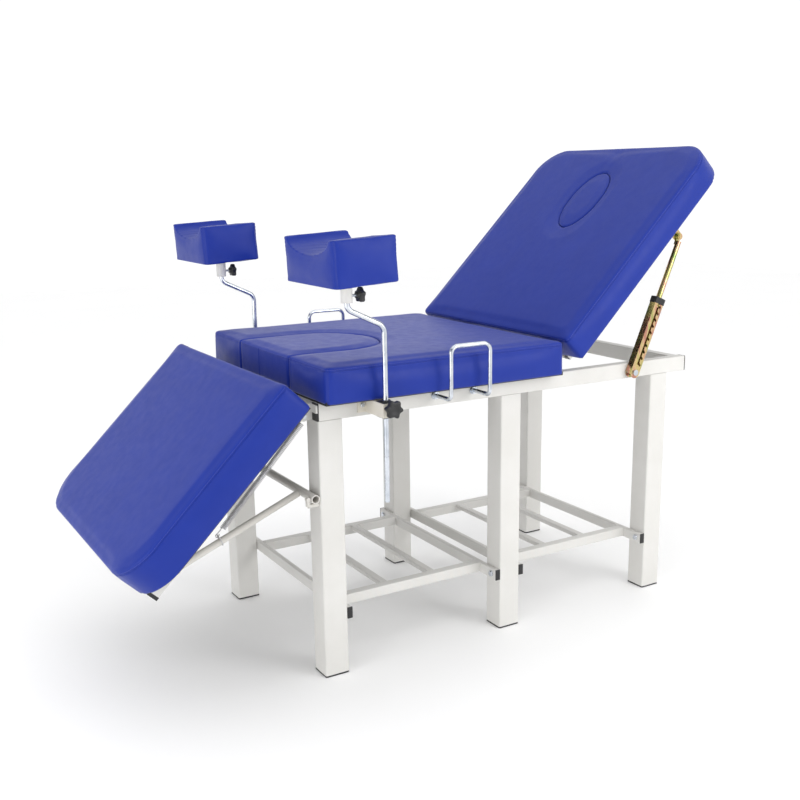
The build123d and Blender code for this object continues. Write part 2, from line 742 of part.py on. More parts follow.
# ---- side handles ----
handle_inner = rail_inner - 12
washer_thickness = 1.6
nut_thickness = 7.4
nuts = []
for side, name in ((NEAR, "near"), (FAR, "far")):
    left, right = handle_xs
    inner = side * handle_inner
    outer = side * handle_plane
    route = [(left, inner, handle_bottom), (left, outer, handle_bottom), (left, outer, handle_top),
             (right, outer, handle_top), (right, outer, handle_bottom), (right, inner, handle_bottom)]
    nodes["side_handle_" + name] = swept_rod(route, (14, 18, 18, 14), handle_radius)
    for x in handle_xs:
        for face, direction in ((half_width, 1), (rail_inner, -1)):
            washer_end = face + direction * washer_thickness
            nut_end = washer_end + direction * nut_thickness
            washer = bar_y(x, handle_bottom, side * face, side * washer_end, 10)
            prism = extrude(RegularPolygon(9, 6), nut_thickness / 2, both=True)
            prism = Pos(x, side * (washer_end + nut_end) / 2, handle_bottom) * Rot(90, 0, 0) * prism
            nut = washer + prism
            nut -= bar_y(x, handle_bottom, side * (face - direction), side * (nut_end + direction),
                         handle_radius)
            nuts.append(nut)
nodes["handle_nuts"] = group(nuts)

# ---- shelves between the legs ----
cross_tubes = []
long_rails = []
slats = []
tube_caps = []
bolts = []
cap_depth = 2.5
slat_width = 20
slat_height = 12
for bay_start, bay_end in shelf_bays:
    for x0, direction in ((bay_start, 1), (bay_end - shelf_cross_width, -1)):
        x1 = x0 + shelf_cross_width
        tube = tube_along_y(x0, x1, -half_width + cap_depth, half_width - cap_depth,
                            shelf_bottom, shelf_top)
        for side in SIDES:
            y = side * bolt_plane
            tube -= bar_x(x0 - 1, x1 + 1, y, bolt_z, bolt_radius)
            tube_caps.append(side_block(side, x0, x1, half_width - cap_depth, half_width,
                                        shelf_bottom, shelf_top))
            inner_face = x1 if direction > 0 else x0
            leg_face = x0 if direction > 0 else x1
            ends = sorted((inner_face, leg_face - direction * 8))
            bolt = bar_x(ends[0], ends[1], y, bolt_z, bolt_radius)
            bolt += rounded_head(bolt_head_radius, bolt_head_height, 2.4, False).moved(
                Location((inner_face, y, bolt_z), (0, 90 * direction, 0)))
            bolts.append(bolt)
        cross_tubes.append(tube)
    inner_start = bay_start + shelf_cross_width
    inner_end = bay_end - shelf_cross_width
    half = shelf_rail_size / 2
    for side in SIDES:
        y = side * shelf_rail_plane
        long_rails.append(tube_along_x(inner_start, inner_end, y - half, y + half,
                                       shelf_top - shelf_rail_size, shelf_top))
    for share in (1 / 3, 2 / 3):
        middle = inner_start + (inner_end - inner_start) * share
        reach = shelf_rail_plane - half
        slats.append(tube_along_y(middle - slat_width / 2, middle + slat_width / 2, -reach, reach,
                                  shelf_top - slat_height, shelf_top, 1.2))
nodes["shelf_cross_tubes"] = group(cross_tubes)
nodes["shelf_long_rails"] = group(long_rails)
nodes["shelf_slats"] = group(slats)
nodes["shelf_end_caps"] = group(tube_caps)
nodes["shelf_bolts"] = group(bolts)

# ---- move the origin to the middle of the box on the floor, and write every part ----
boxes = [shape.bounding_box() for shape in nodes.values()]
low_x = min(box.min.X for box in boxes)
high_x = max(box.max.X for box in boxes)
origin_x = (low_x + high_x) / 2

os.makedirs("parts", exist_ok=True)
for name, shape in nodes.items():
    solids = [Pos(-origin_x, 0, 0) * solid for solid in shape.solids()]
    export_step(group(solids), "parts/" + name + ".step")
print("nodes", len(nodes), "origin_x", round(origin_x, 4), "length", round(high_x - low_x, 1))
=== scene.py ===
import json
import math

import bmesh
import bpy
import numpy as np
from mathutils import Matrix, Vector
from mathutils.bvhtree import BVHTree


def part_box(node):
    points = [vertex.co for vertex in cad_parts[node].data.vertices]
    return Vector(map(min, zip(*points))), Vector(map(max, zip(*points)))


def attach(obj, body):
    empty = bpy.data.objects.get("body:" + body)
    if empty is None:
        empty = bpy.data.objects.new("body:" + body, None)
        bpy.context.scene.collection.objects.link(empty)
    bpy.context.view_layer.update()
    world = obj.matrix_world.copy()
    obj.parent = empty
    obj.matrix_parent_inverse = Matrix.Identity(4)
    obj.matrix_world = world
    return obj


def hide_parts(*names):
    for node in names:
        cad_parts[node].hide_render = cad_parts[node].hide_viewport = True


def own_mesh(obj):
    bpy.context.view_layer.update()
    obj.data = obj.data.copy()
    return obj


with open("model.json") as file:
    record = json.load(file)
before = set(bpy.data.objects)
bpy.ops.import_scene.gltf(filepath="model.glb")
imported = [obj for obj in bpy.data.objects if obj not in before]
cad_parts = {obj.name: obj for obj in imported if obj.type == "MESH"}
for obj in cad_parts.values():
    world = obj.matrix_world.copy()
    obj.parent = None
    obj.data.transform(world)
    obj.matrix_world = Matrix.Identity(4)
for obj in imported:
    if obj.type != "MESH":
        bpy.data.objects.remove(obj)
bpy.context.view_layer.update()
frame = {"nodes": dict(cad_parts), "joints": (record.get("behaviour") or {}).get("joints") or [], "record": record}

# Looks of the medical exam table. Metres, in the CAD model's frame: +X to the head end, +Z up.

MM = 0.001
SIDES = (("near", -1), ("far", 1))
nodes = frame["nodes"]
joints = {joint["name"]: joint for joint in frame["joints"]}
scene = bpy.context.scene

# ---- camera, light and floor ----
CAMERA_PLACE = (-1.2964, -2.268, 1.125)
CAMERA_YAW = 32.23
CAMERA_PITCH = 13.28
CAMERA_ROLL = -0.33
CAMERA_LENS = 45.9
CAMERA_SHIFT = (-0.048, 0.024)
WALL_TOP = 0.16             # heights of a view direction between which the bright wall fades out
CEILING_START = 0.42
CEILING_STRENGTH = 0.55
WALL_STRENGTH = 1.06
FOOT_END = -0.3
HEAD_END = 0.08
FOOT_SHARE = 0.8            # the light of the foot end's wall, as a share of the head end's
OVERHEAD_STRENGTH = 1.62
OVERHEAD_ANGLE = math.radians(100)
FLOOR_HALF = 9


def add_camera():
    data = bpy.data.cameras.new("camera")
    data.lens = CAMERA_LENS
    data.shift_x, data.shift_y = CAMERA_SHIFT
    data.clip_end = 100
    camera = bpy.data.objects.new("camera", data)
    turn = Matrix.Rotation(math.radians(-CAMERA_YAW), 4, "Z")
    turn @= Matrix.Rotation(math.radians(90 - CAMERA_PITCH), 4, "X")
    turn @= Matrix.Rotation(math.radians(CAMERA_ROLL), 4, "Z")
    camera.matrix_world = Matrix.Translation(CAMERA_PLACE) @ turn
    scene.collection.objects.link(camera)
    scene.camera = camera


def add_area_light(name, place, target, size, power):
    data = bpy.data.lights.new(name, "AREA")
    data.shape = "DISK"
    data.size = size
    data.energy = power
    lamp = bpy.data.objects.new(name, data)
    lamp.location = place
    lamp.rotation_euler = (Vector(target) - Vector(place)).to_track_quat("-Z", "Y").to_euler()
    scene.collection.objects.link(lamp)


def add_overhead():
    """A wide, soft light from straight above."""
    data = bpy.data.lights.new("overhead", "SUN")
    data.energy = OVERHEAD_STRENGTH
    data.angle = OVERHEAD_ANGLE
    lamp = bpy.data.objects.new("overhead", data)
    scene.collection.objects.link(lamp)


def add_world():
    """A bright wall, dimmer at the foot end, fading to a dimmer ceiling."""
    world = bpy.data.worlds.new("studio")
    world.use_nodes = True
    background = world.node_tree.nodes["Background"]
    background.inputs["Color"].default_value = (1, 1, 1, 1)
    tree = world.node_tree
    place = tree.nodes.new("ShaderNodeTexCoord")
    parts = tree.nodes.new("ShaderNodeSeparateXYZ")
    tree.links.new(place.outputs["Generated"], parts.inputs["Vector"])
    shares = []
    for axis, from_low, from_high, to_low, to_high in (
            ("Z", WALL_TOP, CEILING_START, WALL_STRENGTH, CEILING_STRENGTH),
            ("X", FOOT_END, HEAD_END, FOOT_SHARE, 1.0)):
        fade = tree.nodes.new("ShaderNodeMapRange")
        for socket, number in (("From Min", from_low), ("From Max", from_high),
                               ("To Min", to_low), ("To Max", to_high)):
            fade.inputs[socket].default_value = number
        tree.links.new(parts.outputs[axis], fade.inputs["Value"])
        shares.append(fade.outputs["Result"])
    strength = tree.nodes.new("ShaderNodeMath")
    strength.operation = "MULTIPLY"
    for share, socket in zip(shares, strength.inputs):
        tree.links.new(share, socket)
    tree.links.new(strength.outputs["Value"], background.inputs["Strength"])
    scene.world = world
    scene.view_settings.view_transform = "Standard"


def add_floor():
    mesh = bpy.data.meshes.new("floor")
    corners = [(x * FLOOR_HALF, y * FLOOR_HALF, 0) for x, y in ((-1, -1), (1, -1), (1, 1), (-1, 1))]
    mesh.from_pydata(corners, [], [(0, 1, 2, 3)])
    floor = bpy.data.objects.new("floor", mesh)
    scene.collection.objects.link(floor)
    floor.data.materials.append(materials["floor"])


# ---- materials ----
class Shader:
    """A material with a Principled shader, and short ways to add texture nodes to it."""

    def __init__(self, name, metallic=0.0, roughness=0.5):
        self.material = bpy.data.materials.new(name)
        self.material.use_nodes = True
        self.tree = self.material.node_tree
        self.surface = self.tree.nodes["Principled BSDF"]
        self.set("Metallic", metallic)
        self.set("Roughness", roughness)
        self.place = self.node("ShaderNodeTexCoord").outputs["Object"]

    def node(self, kind, **values):
        node = self.tree.nodes.new(kind)
        for key, value in values.items():
            setattr(node, key, value)
        return node

    def set(self, socket, value):
        self.surface.inputs[socket].default_value = value

    def link(self, output, target):
        self.tree.links.new(output, target)

    def noise(self, scale, detail=3.0, roughness=0.5, stretch=None):
        node = self.node("ShaderNodeTexNoise")
        node.inputs["Scale"].default_value = scale
        node.inputs["Detail"].default_value = detail
        node.inputs["Roughness"].default_value = roughness
        place = self.place
        if stretch:
            mapping = self.node("ShaderNodeMapping")
            mapping.inputs["Scale"].default_value = stretch
            self.link(place, mapping.inputs["Vector"])
            place = mapping.outputs["Vector"]
        self.link(place, node.inputs["Vector"])
        return node.outputs["Fac"]

    def cells(self, scale, feature="F1"):
        node = self.node("ShaderNodeTexVoronoi", feature=feature)
        node.inputs["Scale"].default_value = scale
        self.link(self.place, node.inputs["Vector"])
        return node.outputs["Distance"]

    def colours(self, value, stops):
        """A colour ramp over a value; the stops are (position, colour)."""
        ramp = self.node("ShaderNodeValToRGB")
        elements = ramp.color_ramp.elements
        while len(elements) < len(stops):
            elements.new(0.5)
        for element, (position, colour) in zip(elements, stops):
            element.position = position
            element.color = (*colour, 1)
        self.link(value, ramp.inputs["Fac"])
        return ramp.outputs["Color"]

    def span(self, value, low, high, from_low=0.3, from_high=0.7):
        node = self.node("ShaderNodeMapRange")
        for socket, number in (("From Min", from_low), ("From Max", from_high),
                               ("To Min", low), ("To Max", high)):
            node.inputs[socket].default_value = number
        self.link(value, node.inputs["Value"])
        return node.outputs["Result"]

    def colour(self, value, stops):
        self.link(self.colours(value, stops), self.surface.inputs["Base Color"])

    def vary_roughness(self, value, low, high):
        self.link(self.span(value, low, high), self.surface.inputs["Roughness"])

    def bump(self, layers):
        """Bump nodes in a chain; the layers are (height, distance in metres, strength)."""
        normal = None
        for height, distance, strength in layers:
            node = self.node("ShaderNodeBump")
            node.inputs["Distance"].default_value = distance
            node.inputs["Strength"].default_value = strength
            self.link(height, node.inputs["Height"])
            if normal:
                self.link(normal, node.inputs["Normal"])
            normal = node.outputs["Normal"]
        self.link(normal, self.surface.inputs["Normal"])


def leather(name, deep, clear):
    """Coated upholstery cloth: a fine pebbled grain, a few soft creases and an uneven sheen."""
    shader = Shader(name)
    shader.colour(shader.noise(14, 4, 0.55), ((0.3, deep), (0.7, clear)))
    shader.vary_roughness(shader.noise(45, 3), 0.38, 0.47)
    shader.set("Specular IOR Level", 0.2)
    shader.set("Sheen Weight", 0.12)
    shader.set("Sheen Roughness", 0.35)
    shader.bump((
        (shader.noise(16, 3, 0.5), 0.0014, 0.22),
        (shader.cells(620), 0.00018, 0.45),
        (shader.noise(2400, 2), 0.00006, 0.5),
    ))
    return shader.material


def powder_coat(name, shade, light, gloss=0.36):
    """Oven-cured paint: a faint orange peel, and slightly duller, warmer patches."""
    shader = Shader(name)
    shader.colour(shader.noise(7, 4, 0.6), ((0.35, shade), (0.65, light)))
    shader.vary_roughness(shader.noise(60, 2), gloss, gloss + 0.1)
    shader.bump((
        (shader.noise(420, 2), 0.00012, 0.35),
        (shader.noise(1500, 2), 0.00004, 0.4),
    ))
    return shader.material


def bright_zinc():
    """Bright bluish zinc plate with fine drawing lines."""
    shader = Shader("bright_zinc", metallic=1.0, roughness=0.2)
    shader.colour(shader.noise(40, 3), ((0.3, (0.50, 0.54, 0.60)), (0.7, (0.72, 0.75, 0.80))))
    shader.vary_roughness(shader.noise(160, 3, stretch=(1, 1, 0.08)), 0.14, 0.30)
    shader.bump(((shader.noise(900, 2, stretch=(1, 1, 0.06)), 0.00004, 0.35),))
    return shader.material


def yellow_zinc():
    """Yellow passivated zinc: gold with drifting pink and green."""
    shader = Shader("yellow_zinc", metallic=1.0, roughness=0.26)
    shader.colour(shader.noise(70, 2, 0.5, stretch=(1, 1, 0.22)), (
        (0.30, (0.26, 0.34, 0.13)),
        (0.44, (0.60, 0.50, 0.20)),
        (0.54, (0.68, 0.48, 0.27)),
        (0.62, (0.55, 0.24, 0.18)),
        (0.74, (0.34, 0.30, 0.20)),
    ))
    shader.vary_roughness(shader.noise(220, 3), 0.18, 0.34)
    shader.bump(((shader.noise(1200, 2), 0.00003, 0.3),))
    return shader.material


def spring_wire():
    shader = Shader("spring_wire", metallic=1.0, roughness=0.3)
    shader.colour(shader.noise(200, 3), ((0.3, (0.42, 0.42, 0.44)), (0.7, (0.66, 0.66, 0.68))))
    shader.vary_roughness(shader.noise(500, 2), 0.22, 0.36)
    shader.bump(((shader.noise(2500, 2), 0.00002, 0.3),))
    return shader.material


def moulded_plastic(name, gloss):
    """Black moulded plastic with a fine spark-eroded texture and rubbed patches."""
    shader = Shader(name)
    shader.colour(shader.noise(35, 3), ((0.3, (0.008, 0.008, 0.009)), (0.7, (0.018, 0.018, 0.020))))
    shader.vary_roughness(shader.noise(120, 3), gloss, gloss + 0.14)
    shader.bump(((shader.noise(3000, 2), 0.00005, 0.5),))
    return shader.material


def lined_board():
    """Board under a black lining cloth: a fine crossed weave."""
    shader = Shader("lined_board", roughness=0.85)
    shader.colour(shader.noise(30, 3), ((0.3, (0.010, 0.010, 0.012)), (0.7, (0.022, 0.022, 0.026))))
    waves = []
    for direction in ("X", "Y"):
        wave = shader.node("ShaderNodeTexWave", bands_direction=direction)
        wave.inputs["Scale"].default_value = 260
        wave.inputs["Distortion"].default_value = 0.6
        shader.link(shader.place, wave.inputs["Vector"])
        waves.append((wave.outputs["Fac"], 0.00012, 0.5))
    shader.bump(waves)
    return shader.material


def floor_paint():
    shader = Shader("floor", roughness=0.6)
    shader.colour(shader.noise(1.5, 2), ((0.3, (0.955, 0.955, 0.957)), (0.7, (0.97, 0.97, 0.97))))
    return shader.material


def twisted_thread():
    shader = Shader("thread", roughness=0.6)
    shader.colour(shader.noise(900, 2), ((0.3, (0.05, 0.07, 0.36)), (0.7, (0.08, 0.10, 0.44))))
    shader.bump(((shader.noise(4000, 2), 0.00005, 0.5),))
    return shader.material


materials = {
    "frame_paint": powder_coat("frame_paint", (0.68, 0.67, 0.64), (0.72, 0.71, 0.685)),
    "clamp_paint": powder_coat("clamp_paint", (0.72, 0.68, 0.59), (0.76, 0.72, 0.635)),
    "prop_paint": powder_coat("prop_paint", (0.60, 0.58, 0.54), (0.70, 0.68, 0.64), 0.30),
    "blue_cover": leather("blue_cover", (0.010, 0.030, 0.275), (0.012, 0.034, 0.300)),
    "board": lined_board(),
    "black_plastic": moulded_plastic("black_plastic", 0.34),
    "zinc_steel": bright_zinc(),
    "yellow_zinc": yellow_zinc(),
    "spring_steel": spring_wire(),
    "floor": floor_paint(),
    "thread": twisted_thread(),
}


def finish_cad_nodes():
    """Every CAD node gets the material of its slot in the record."""
    for part in frame["record"]["subparts"]:
        mesh = nodes[part["node"]].data
        mesh.materials.clear()
        mesh.materials.append(materials[part["material_slot"]])


# ---- pieces: shared steps ----
def new_piece(name, mesh, slot, body, smooth=True):
    """A finished mesh as a named piece that rides on a body."""
    piece = bpy.data.objects.new(name, mesh)
    scene.collection.objects.link(piece)
    mesh.name = name
    mesh.materials.clear()
    mesh.materials.append(materials[slot])
    if smooth:
        mesh.polygons.foreach_set("use_smooth", [True] * len(mesh.polygons))
    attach(piece, body)
    return piece


def points_of(mesh):
    points = np.empty(len(mesh.vertices) * 3)
    mesh.vertices.foreach_get("co", points)
    return points.reshape(-1, 3)


def normals_of(mesh):
    normals = np.empty(len(mesh.vertices) * 3)
    mesh.vertices.foreach_get("normal", normals)
    return normals.reshape(-1, 3)


def put_points(mesh, points):
    mesh.vertices.foreach_set("co", np.ascontiguousarray(points).ravel())
    mesh.update()


def evaluated(obj):
    graph = bpy.context.evaluated_depsgraph_get()
    return bpy.data.meshes.new_from_object(obj.evaluated_get(graph))


def with_modifier(mesh, kind, **values):
    """The mesh after one modifier."""
    obj = bpy.data.objects.new("work", mesh)
    scene.collection.objects.link(obj)
    modifier = obj.modifiers.new(kind, kind)
    for key, value in values.items():
        setattr(modifier, key, value)
    result = evaluated(obj)
    bpy.data.objects.remove(obj)
    return result


def joined(bm, rings):
    """Faces from each ring of points to the next."""
    for low, high in zip(rings, rings[1:]):
        count = len(low)
        for number in range(count):
            after = (number + 1) % count
            bm.faces.new((low[number], low[after], high[after], high[number]))


def closed_tube(bm, rings):
    joined(bm, rings)
    bm.faces.new(rings[0][::-1])
    bm.faces.new(rings[-1])


def swing_to_level(joint_name, limit):
    """The turn about a hinge that brings its section level, from the joint's own limit."""
    joint = joints[joint_name]
    pivot = Matrix.Translation(joint["pos_m"])
    turn = Matrix.Rotation(math.radians(joint["range_deg"][limit]), 4, Vector(joint["axis"]))
    return pivot @ turn @ pivot.inverted()


# ---- upholstery ----
VOXEL = 6 * MM
SLACK = 2.5 * MM            # how much smaller a cushion starts before it swells
SIM_FRAMES = 12
PRESSURE = 4.0
SWELL_ROUNDS = 10
SWELL_SHARE = 0.55
SEAM_DROP = 10 * MM         # the seam under the top edge
SEAM_DEPTH = 1.3 * MM
# millimetres across a seam, and how deep the cover lies there as a share of the seam's depth
SEAM_PROFILE = ((-3.2, -0.1), (-1.3, -0.35), (0, 1.0), (1.3, -0.35))
FOOT_SEAM_PROFILE = ((-1.4, -0.2), (0, 1.0), (1.4, -0.2))
TOPSTITCH_RISE = 3.2 * MM   # the row of stitches above the seam
STITCH_LENGTH = 4.2 * MM
STITCH_GAP = 1.5 * MM
STITCH_RADIUS = 0.42 * MM
CORNER_DEPTH = 1.2 * MM     # of the upright seams at the corners
CORNER_WIDTH = 0.3 * MM
PUCKER_DEPTH = 0.7 * MM
PUCKER_PITCH = 9 * MM
PUCKER_SETBACK = 1.6 * MM
PUCKER_WIDTH = 1.1 * MM
CORNER_REACH = 6 * MM       # how far from the furthest points a corner seam works
CORNER_SETBACK = 14 * MM    # layers set back further than this have no corner seam
LAYER = 3 * MM
INSERT_SEAM = 25 * MM       # the distance of the insert's foot seam from the middle plane
INSERT_VOXEL = 5 * MM
SMALL_VOXEL = 4 * MM
SWELL_CAP = 3.5 * MM        # the most that a cushion swells
PLUG_CAP = 2.5 * MM
KNEE_CAP = 3 * MM
HELD_LAYER = 2.5 * MM       # the layer of a cushion that stays on its board
NEIGHBOUR_MARGIN = 12 * MM
ALL_CORNERS = ((-1, -1), (-1, 1), (1, -1), (1, 1))
BOARD_GAP = 0.4 * MM        # between a board and the foam on it
SEAT_WRAP = 7 * MM          # how far a cover reaches down over its board
SECTION_WRAP = 9 * MM


def nowhere(points):
    return np.zeros(len(points), bool)


def everywhere(points):
    return np.ones(len(points), bool)


def eased(mesh, field, rounds):
    """A value at each point, averaged with its neighbours': fine wrinkles go, the swell stays."""
    ends = np.empty(len(mesh.edges) * 2, dtype=np.int64)
    mesh.edges.foreach_get("vertices", ends)
    first, second = ends.reshape(-1, 2).T
    count = len(field)
    degree = np.bincount(ends, minlength=count)[:, None]
    for _ in range(rounds):
        total = np.empty_like(field)
        for axis in range(field.shape[1]):
            total[:, axis] = np.bincount(first, weights=field[second, axis], minlength=count)
            total[:, axis] += np.bincount(second, weights=field[first, axis], minlength=count)
        field = 0.5 * field + 0.5 * total / np.maximum(degree, 1)
    return field


def swollen(mesh, cap, hugs):
    """Cloth filled under pressure. It starts smaller by the slack and ends at its own size plus
    the eased swell of the filling, at most the cap. Its underside stays on the board, and where
    hugs(points) is true it doesn't swell sideways."""
    whole = points_of(mesh)
    taken_up = normals_of(mesh) * SLACK
    floor_z = whole[:, 2].min()
    held = whole[:, 2] < floor_z + HELD_LAYER
    taken_up[held, 2] = 0
    put_points(mesh, whole - taken_up)
    swell = simulated(mesh, held) - whole
    swell[held] = 0
    swell = eased(mesh, swell, SWELL_ROUNDS) * SWELL_SHARE
    length = np.linalg.norm(swell, axis=1)
    swell *= np.minimum(1, cap / np.maximum(length, 1e-9))[:, None]
    swell[hugs(whole), :2] = 0
    swell[held] = 0
    put_points(mesh, whole + swell)
    return mesh


def simulated(mesh, held):
    """Where the mesh's points come to rest as a cloth bag filled under pressure."""
    obj = bpy.data.objects.new("filling", mesh)
    scene.collection.objects.link(obj)
    group = obj.vertex_groups.new(name="held")
    group.add([int(i) for i in np.nonzero(held)[0]], 1.0, "REPLACE")
    cloth = obj.modifiers.new("cloth", "CLOTH")
    settings = cloth.settings
    settings.quality = 5
    settings.mass = 0.3
    settings.tension_stiffness = 25
    settings.compression_stiffness = 25
    settings.bending_stiffness = 1.5
    settings.use_pressure = True
    settings.uniform_pressure_force = PRESSURE
    settings.vertex_group_mass = "held"
    settings.effector_weights.gravity = 0
    cloth.point_cache.frame_start = 1
    cloth.point_cache.frame_end = SIM_FRAMES
    for number in range(1, SIM_FRAMES + 1):
        scene.frame_set(number)
    result = points_of(evaluated(obj))
    scene.frame_set(1)
    bpy.data.objects.remove(obj)
    return result


def cut_level(bm, z):
    """Cut the mesh along a level plane and return the new points and edges on it."""
    geometry = bm.verts[:] + bm.edges[:] + bm.faces[:]
    cut = bmesh.ops.bisect_plane(bm, geom=geometry, plane_co=(0, 0, z), plane_no=(0, 0, 1),
                                 dist=0.05 * MM)["geom_cut"]
    points = [item for item in cut if isinstance(item, bmesh.types.BMVert)]
    edges = [item for item in cut if isinstance(item, bmesh.types.BMEdge)]
    return points, edges


def chained(edges):
    """The edges as closed loops of (place, normal), taken in the order of the list, so that every
    run starts each loop at the same edge."""
    left = set(edges)
    loops = []
    for edge in edges:
        if edge not in left:
            continue
        left.remove(edge)
        first, last = edge.verts
        loop = [first, last]
        while last is not first:
            follow = next((e for e in last.link_edges if e in left), None)
            if follow is None:
                break
            left.remove(follow)
            last = follow.other_vert(last)
            loop.append(last)
        loops.append([(v.co.copy(), v.normal.copy()) for v in loop])
    return sorted(loops, key=lambda loop: (-len(loop), tuple(loop[0][0])))


def spaced(loop, step):
    """Places and directions along a loop, one for each step of its length."""
    places = []
    ahead = 0.0
    for (a, normal_a), (b, normal_b) in zip(loop, loop[1:]):
        run = (b - a).length
        if run < 1e-9:
            continue
        while ahead < run:
            share = ahead / run
            normal = normal_a.lerp(normal_b, share).normalized()
            places.append((a.lerp(b, share), (b - a).normalized(), normal))
            ahead += step
        ahead -= run
    return places


def stitch_row(bm, loop):
    """Short raised stitches along a loop, each a thread lying on the cover."""
    sides = 6
    for place, along, normal in spaced(loop, STITCH_LENGTH + STITCH_GAP):
        across = along.cross(normal).normalized()
        rings = []
        for reach, swell in ((-0.5, 0.35), (-0.25, 1.0), (0.25, 1.0), (0.5, 0.35)):
            centre = place + along * (STITCH_LENGTH * reach) + normal * (STITCH_RADIUS * swell * 0.5)
            ring = []
            for number in range(sides):
                angle = math.tau * number / sides
                offset = across * math.cos(angle) + normal * math.sin(angle)
                ring.append(bm.verts.new(centre + offset * (STITCH_RADIUS * swell)))
            rings.append(ring)
        closed_tube(bm, rings)


def foot_seamed(bm, y):
    """Sink an upright seam into the face at the foot end, at a distance from the middle plane."""
    for offset, depth in FOOT_SEAM_PROFILE:
        geometry = bm.verts[:] + bm.edges[:] + bm.faces[:]
        cut = bmesh.ops.bisect_plane(bm, geom=geometry, plane_co=(0, y + offset * MM, 0),
                                     plane_no=(0, 1, 0), dist=0.05 * MM)["geom_cut"]
        bm.normal_update()
        for item in cut:
            if isinstance(item, bmesh.types.BMVert) and item.normal.x < -0.8:
                item.co -= item.normal * (SEAM_DEPTH * depth)
    bm.normal_update()


def sewn(mesh, seam_z, foot_seam):
    """Sink the seam into the walls, and return the mesh with the stitches beside it."""
    bm = bmesh.new()
    bm.from_mesh(mesh)
    bm.normal_update()
    if foot_seam is not None:
        foot_seamed(bm, foot_seam)
    for offset, depth in SEAM_PROFILE:
        points, _ = cut_level(bm, seam_z + offset * MM)
        bm.normal_update()
        for point in points:
            point.co -= point.normal * (SEAM_DEPTH * depth)
    bm.normal_update()
    stitches = bmesh.new()
    _, edges = cut_level(bm, seam_z + TOPSTITCH_RISE)
    bm.normal_update()
    for loop in chained(edges):
        stitch_row(stitches, loop)
    cover = bpy.data.meshes.new("cover")
    bm.to_mesh(cover)
    bm.free()
    thread = bpy.data.meshes.new("thread")
    stitches.to_mesh(thread)
    stitches.free()
    return cover, thread


def corner_seamed(mesh, corners):
    """Sink an upright seam at each of the named corners of a cushion, and pucker the cover beside
    it. A corner is (x sign, y sign)."""
    mesh.update()
    points = points_of(mesh)
    normals = normals_of(mesh)
    floor_z = points[:, 2].min()
    top_z = points[:, 2].max()
    layers = ((points[:, 2] - floor_z) / LAYER).astype(int)
    for x_sign, y_sign in corners:
        reach = (points[:, 0] * x_sign + points[:, 1] * y_sign) / math.sqrt(2)
        furthest = np.full(layers.max() + 1, -np.inf)
        np.maximum.at(furthest, layers, reach)
        short = furthest[layers] - reach
        lower_half = furthest[: layers.max() // 2]
        edge = furthest[layers] > lower_half.max() - CORNER_SETBACK
        upright = np.abs(normals[:, 2]) < 0.6
        chosen = edge & upright & (short < CORNER_REACH)
        groove = CORNER_DEPTH * np.exp(-(short / CORNER_WIDTH) ** 2)
        share = (points[:, 2] - floor_z) / (top_z - floor_z)
        beside = np.exp(-((short - PUCKER_SETBACK) / PUCKER_WIDTH) ** 2)
        pucker = PUCKER_DEPTH * beside * np.sin(points[:, 2] / PUCKER_PITCH * math.tau) * share ** 3
        points[chosen] -= normals[chosen] * (groove + pucker)[chosen, None]
    put_points(mesh, points)


def wrapped_down(mesh, drop):
    """Lower a cushion's underside, so that its cover reaches down over its board's edge."""
    points = points_of(mesh)
    low = points[:, 2].min()
    points[points[:, 2] < low + 0.1 * MM, 2] = low - drop
    put_points(mesh, points)


def pocketed(mesh, board, level):
    """Raise the underside over the board, which leaves the cover as a rim around its edge."""
    board_mesh = nodes[board].data.copy()
    board_mesh.transform(level)
    tree = BVHTree.FromPolygons([v.co for v in board_mesh.vertices],
                                [tuple(face.vertices) for face in board_mesh.polygons])
    top = points_of(board_mesh)[:, 2].max()
    bpy.data.meshes.remove(board_mesh)
    points = points_of(mesh)
    for index in np.nonzero(points[:, 2] < top + BOARD_GAP)[0]:
        x, y = points[index, :2]
        if tree.ray_cast(Vector((x, y, top + 0.1)), Vector((0, 0, -1)))[0] is not None:
            points[index, 2] = top + BOARD_GAP
    put_points(mesh, points)


def upholster(node, name, body, level=Matrix.Identity(4), cap=SWELL_CAP, hugs=nowhere,
              voxel=VOXEL, seam=True, board=None, drop=0.0, corners=(), foot_seam=None):
    """A stuffed, sewn cushion in place of a CAD solid, made level and swung to its place."""
    mesh = nodes[node].data.copy()
    mesh.transform(level)
    if board:
        wrapped_down(mesh, drop)
    mesh = with_modifier(mesh, "REMESH", mode="VOXEL", voxel_size=voxel, adaptivity=0.0)
    seam_z = points_of(mesh)[:, 2].max() - SEAM_DROP
    mesh = swollen(mesh, cap, hugs)
    mesh = with_modifier(mesh, "SUBSURF", levels=1, render_levels=1)
    if board:
        pocketed(mesh, board, level)
    corner_seamed(mesh, corners)
    back = level.inverted()
    if seam:
        mesh, thread = sewn(mesh, seam_z, foot_seam)
        thread.transform(back)
        rows = new_piece(name + "_stitching", thread, "thread", body)
    mesh.transform(back)
    piece = new_piece(name, mesh, "blue_cover", body)
    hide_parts(node)
    return piece


# ---- swept and stacked shapes ----
def swept(bm, path, radius, sides=8):
    """A round bar along a path of points, closed at both ends."""
    rings = []
    across = None
    for index, place in enumerate(path):
        before = path[max(index - 1, 0)]
        after = path[min(index + 1, len(path) - 1)]
        along = (after - before).normalized()
        if across is None:
            across = along.orthogonal().normalized()
        across = (across - along * across.dot(along)).normalized()
        other = along.cross(across)
        ring = []
        for number in range(sides):
            angle = math.tau * number / sides
            offset = across * math.cos(angle) + other * math.sin(angle)
            ring.append(bm.verts.new(place + offset * radius))
        rings.append(ring)
    closed_tube(bm, rings)


